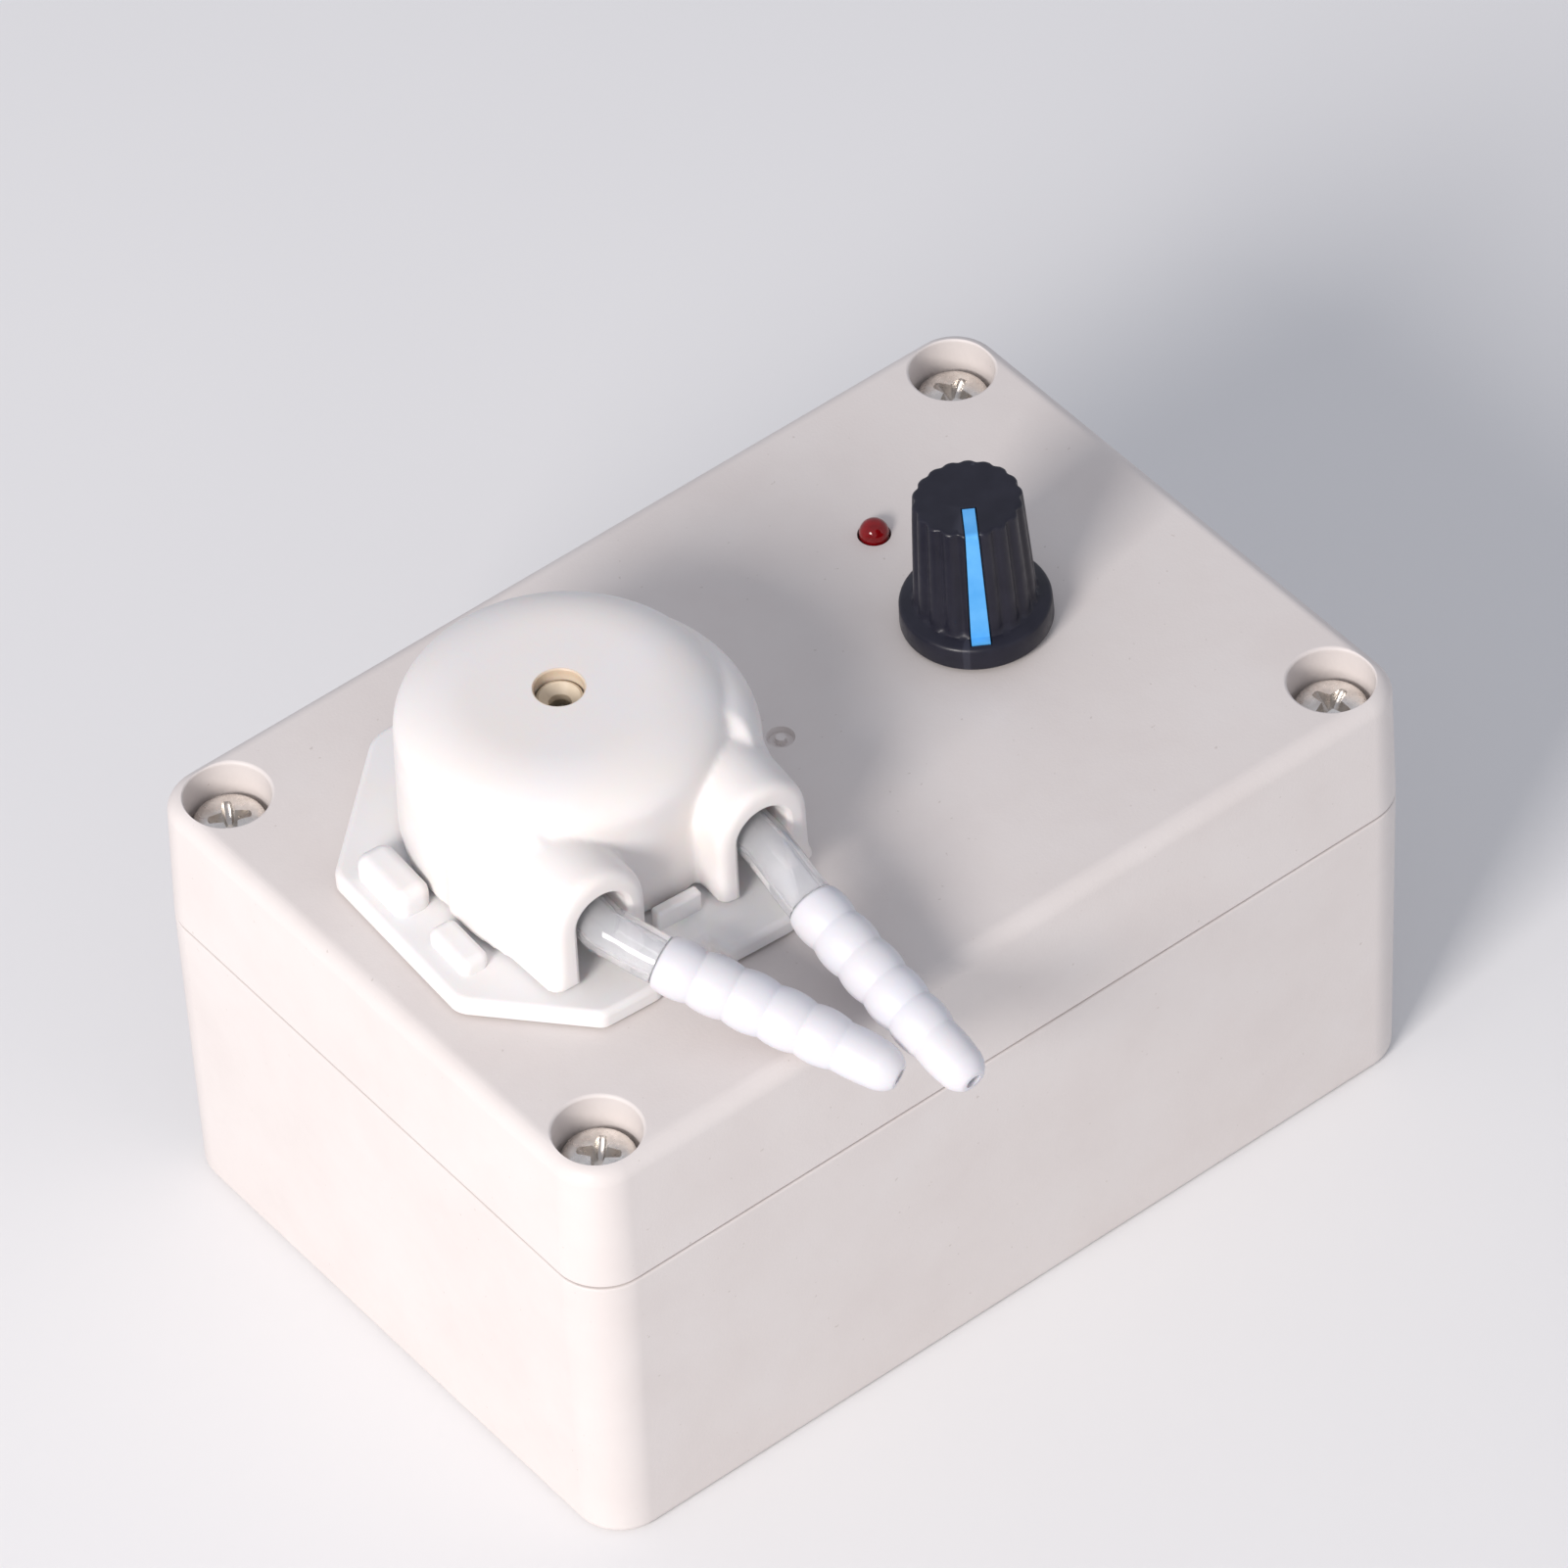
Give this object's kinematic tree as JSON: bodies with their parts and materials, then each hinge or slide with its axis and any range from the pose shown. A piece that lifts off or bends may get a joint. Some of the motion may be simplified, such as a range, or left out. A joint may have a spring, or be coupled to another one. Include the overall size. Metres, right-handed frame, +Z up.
{
  "type": "peristaltic pump",
  "caption": "Bench-top peristaltic pump: round white pump head with ribbed hose connectors, fluted speed knob and red lamp on a rectangular plastic box.",
  "frame": {"origin": "centre of the flat bottom face of the instrument box", "axes": "+X along the long side of the box from the pump head to the knob; -Y to the front, where the two hoses leave; +Z up"},
  "size_m": [0.1, 0.0824, 0.0686],
  "materials": {
    "box_abs_lower": "fine satin texture, light warm grey",
    "box_abs_upper": "fine satin texture, light warm grey",
    "gasket_rubber": "black foam cord",
    "screw_steel": "nickel-plated, cross recess",
    "head_plate_plastic": "white satin",
    "head_cap_plastic": "white satin",
    "cage_plastic": "cream, moulded",
    "roller_plastic": "turned, smooth",
    "pin_steel": "ground",
    "spindle_plastic": "dark grey, grippy",
    "shaft_steel": "ground",
    "motor_steel": "zinc-plated",
    "motor_end_plastic": "black",
    "motor_tab_brass": "stamped",
    "mount_screw_steel": "zinc-plated",
    "tube_silicone": "clear milky silicone",
    "connector_plastic": "translucent white",
    "knob_plastic": "blue-black, glossy",
    "pointer_plastic": "light blue inlay",
    "pot_steel": "stamped, plated",
    "pot_shaft_aluminium": "turned",
    "pot_nut_steel": "plated",
    "pot_pin_steel": "tinned",
    "lamp_plastic": "clear red, unlit",
    "lamp_lead_steel": "tinned",
    "board_laminate": "green solder mask",
    "capacitor_sleeve": "shrink sleeve",
    "transistor_plastic": "moulded black",
    "transistor_tab_steel": "tinned tab",
    "terminal_plastic": "green moulding",
    "terminal_screw_steel": "plated",
    "jack_plastic": "black",
    "jack_pin_brass": "plated",
    "jack_nut_brass": "nickel-plated",
    "wire_red": "insulation",
    "wire_black": "insulation"
  },
  "bodies": {
    "case": {"case_base": "box_abs_lower", "case_lid": "box_abs_upper", "lid_gasket": "gasket_rubber", "lid_screw_1": "screw_steel", "lid_screw_2": "screw_steel", "lid_screw_3": "screw_steel", "lid_screw_4": "screw_steel", "head_plate": "head_plate_plastic", "head_cap": "head_cap_plastic", "motor_can": "motor_steel", "motor_end_cap": "motor_end_plastic", "motor_tab_1": "motor_tab_brass", "motor_tab_2": "motor_tab_brass", "motor_screw_1": "mount_screw_steel", "motor_screw_2": "mount_screw_steel", "pump_tube": "tube_silicone", "connector_left": "connector_plastic", "connector_right": "connector_plastic", "pot_body": "pot_steel", "pot_nut": "pot_nut_steel", "pot_washer": "pot_nut_steel", "pot_pin_1": "pot_pin_steel", "pot_pin_2": "pot_pin_steel", "pot_pin_3": "pot_pin_steel", "lamp": "lamp_plastic", "lamp_lead_1": "lamp_lead_steel", "lamp_lead_2": "lamp_lead_steel", "circuit_board": "board_laminate", "capacitor": "capacitor_sleeve", "transistor": "transistor_plastic", "transistor_tab": "transistor_tab_steel", "terminal_block": "terminal_plastic", "terminal_screw_1": "terminal_screw_steel", "terminal_screw_2": "terminal_screw_steel", "terminal_screw_3": "terminal_screw_steel", "terminal_screw_4": "terminal_screw_steel", "dc_jack": "jack_plastic", "jack_pin": "jack_pin_brass", "jack_nut": "jack_nut_brass", "supply_wire_red": "wire_red", "supply_wire_black": "wire_black", "motor_wire_red": "wire_red", "motor_wire_black": "wire_black"},
    "knob": {"knob": "knob_plastic", "knob_pointer": "pointer_plastic", "pot_shaft": "pot_shaft_aluminium"},
    "roller_cage": {"cage_lower": "cage_plastic", "cage_upper": "cage_plastic", "roller_pin_1": "pin_steel", "roller_pin_2": "pin_steel", "roller_pin_3": "pin_steel"},
    "roller_1": {"roller_1": "roller_plastic"},
    "roller_2": {"roller_2": "roller_plastic"},
    "roller_3": {"roller_3": "roller_plastic"},
    "motor_rotor": {"motor_shaft": "shaft_steel", "drive_sleeve": "spindle_plastic"}
  },
  "joints": [
    {"name": "knob_turn", "type": "hinge", "parent": "case", "child": "knob", "pos_m": [0.024, 0, 0.058], "axis": [0, 0, -1], "range_deg": [0, 300]},
    {"name": "cage_turn", "type": "hinge", "parent": "case", "child": "roller_cage", "pos_m": [-0.0224, 0.0037, 0.058], "axis": [0, 0, 1], "continuous": true},
    {"name": "roller_1_spin", "type": "hinge", "parent": "roller_cage", "child": "roller_1", "pos_m": [-0.02196, 0.01089, 0.058], "axis": [0, 0, 1], "continuous": true},
    {"name": "roller_2_spin", "type": "hinge", "parent": "roller_cage", "child": "roller_2", "pos_m": [-0.02884, 0.00049, 0.058], "axis": [0, 0, 1], "continuous": true},
    {"name": "roller_3_spin", "type": "hinge", "parent": "roller_cage", "child": "roller_3", "pos_m": [-0.0164, -0.00027, 0.058], "axis": [0, 0, 1], "continuous": true},
    {"name": "rotor_spin", "type": "hinge", "parent": "case", "child": "motor_rotor", "pos_m": [-0.0224, 0.0037, 0.058], "axis": [0, 0, 1], "continuous": true}
  ],
  "couplings": [
    {"joint": "roller_1_spin", "follows": "cage_turn", "ratio": -2.5},
    {"joint": "roller_2_spin", "follows": "cage_turn", "ratio": -2.5},
    {"joint": "roller_3_spin", "follows": "cage_turn", "ratio": -2.5},
    {"joint": "rotor_spin", "follows": "cage_turn", "ratio": 6}
  ]
}
